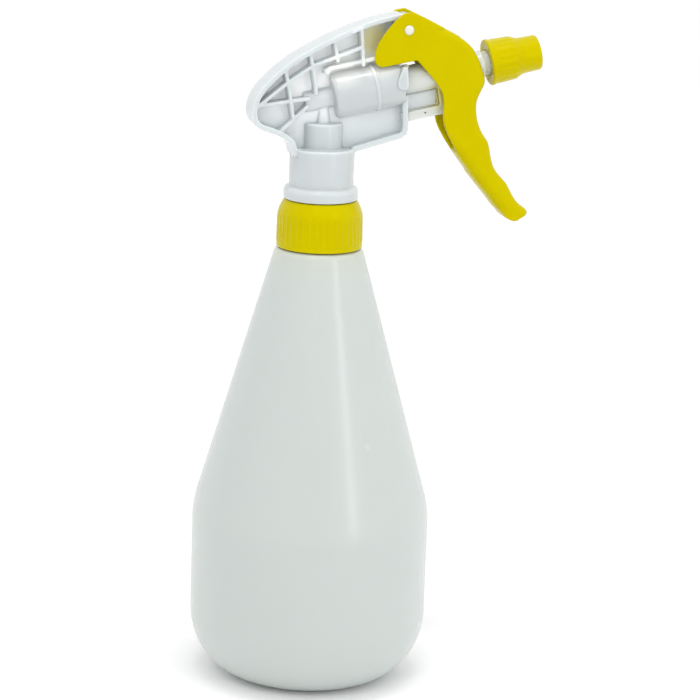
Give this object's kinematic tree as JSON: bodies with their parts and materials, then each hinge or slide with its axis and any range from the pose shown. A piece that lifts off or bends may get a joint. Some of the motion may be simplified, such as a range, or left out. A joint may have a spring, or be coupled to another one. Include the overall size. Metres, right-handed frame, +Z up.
{
  "type": "hand mister",
  "caption": "Trigger-operated hand mister: coned bottle on a round base, screw collar, ribbed pump head, finger trigger and an adjustable nozzle that moves with the piston.",
  "frame": {"origin": "middle of the bottle's flat base, on the bottle's axis", "axes": "+Z up along the bottle's axis, +X towards the nozzle, +Y to the left of someone who looks along +X"},
  "size_m": [0.1343, 0.0948, 0.2673],
  "materials": {
    "bottle_plastic": "satin, milky natural polyethylene, blow moulded",
    "white_plastic": "smooth moulded polypropylene",
    "yellow_plastic": "smooth moulded polypropylene",
    "natural_plastic": "translucent unfilled polypropylene",
    "spring_steel": "drawn stainless wire and polished balls",
    "seal_rubber": "matt"
  },
  "bodies": {
    "bottle": {"bottle": "bottle_plastic"},
    "head": {"pump_body": "white_plastic", "pivot_pin": "white_plastic", "tube_holder": "white_plastic", "ball_cage": "natural_plastic", "neck_gasket": "natural_plastic", "dip_tube": "natural_plastic", "inlet_strainer": "natural_plastic", "return_spring": "spring_steel"},
    "collar": {"screw_collar": "yellow_plastic"},
    "trigger": {"trigger": "yellow_plastic"},
    "piston": {"piston_rod": "natural_plastic", "pressure_cup": "natural_plastic", "wiper_cup": "natural_plastic", "outlet_spring": "spring_steel", "swirl_insert": "natural_plastic", "nozzle_seal": "seal_rubber"},
    "nozzle": {"nozzle_cap": "yellow_plastic"},
    "inlet_ball": {"inlet_ball": "spring_steel"},
    "outlet_ball": {"outlet_ball": "spring_steel"}
  },
  "joints": [
    {"name": "head_lift", "type": "slide", "parent": "bottle", "child": "head", "axis": [0, 0, 1], "range_m": [0, 0.19]},
    {"name": "collar_turn", "type": "hinge", "parent": "head", "child": "collar", "pos_m": [0, 0, 0.184], "axis": [0, 0, 1], "continuous": true},
    {"name": "trigger_pull", "type": "hinge", "parent": "head", "child": "trigger", "pos_m": [0.0312, 0, 0.2603], "axis": [0, 1, 0], "range_deg": [0, 17.5], "stiffness_Nm_per_rad": 0.8, "springref_deg": -8.59},
    {"name": "piston_slide", "type": "slide", "parent": "head", "child": "piston", "axis": [-0.9789, 0, -0.2045], "range_m": [0, 0.00948], "deforming": ["return_spring"]},
    {"name": "nozzle_turn", "type": "hinge", "parent": "piston", "child": "nozzle", "pos_m": [0.07555, 0, 0.24895], "axis": [0.9789, 0, 0.2045], "range_deg": [0, 540]},
    {"name": "inlet_ball_lift", "type": "slide", "parent": "head", "child": "inlet_ball", "axis": [0, 0, 1], "range_m": [0, 0.0015]},
    {"name": "outlet_ball_lift", "type": "slide", "parent": "piston", "child": "outlet_ball", "axis": [0.9789, 0, 0.2045], "range_m": [0, 0.0015], "stiffness_N_per_m": 150, "springref_m": -0.001, "deforming": ["outlet_spring"]}
  ],
  "couplings": [
    {"joint": "piston_slide", "follows": "trigger_pull", "m_per_rad": 0.031}
  ]
}
